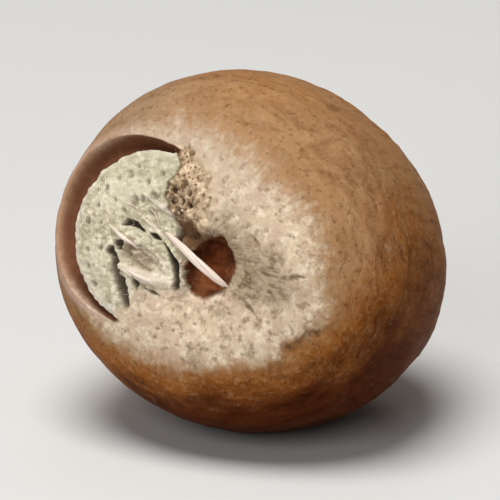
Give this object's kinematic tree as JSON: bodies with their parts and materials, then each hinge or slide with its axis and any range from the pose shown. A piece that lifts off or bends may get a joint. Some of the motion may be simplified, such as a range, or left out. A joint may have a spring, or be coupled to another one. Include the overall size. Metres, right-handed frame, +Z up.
{
  "type": "dried betel nut",
  "caption": "Whole dried betel nut, a rounded seed lying on its flank, with a corky base scar, a crescent gap round it and a germ pit.",
  "frame": {"origin": "on the ground, under the centre of the lying nut's bounding box", "axes": "+Z up, -Y the side that the nut's base faces, +X across the nut, along its widest measure"},
  "size_m": [0.028, 0.0262, 0.0264],
  "materials": {
    "nut_skin": "satin"
  },
  "bodies": {
    "root": {"nut": "nut_skin"}
  },
  "joints": []
}
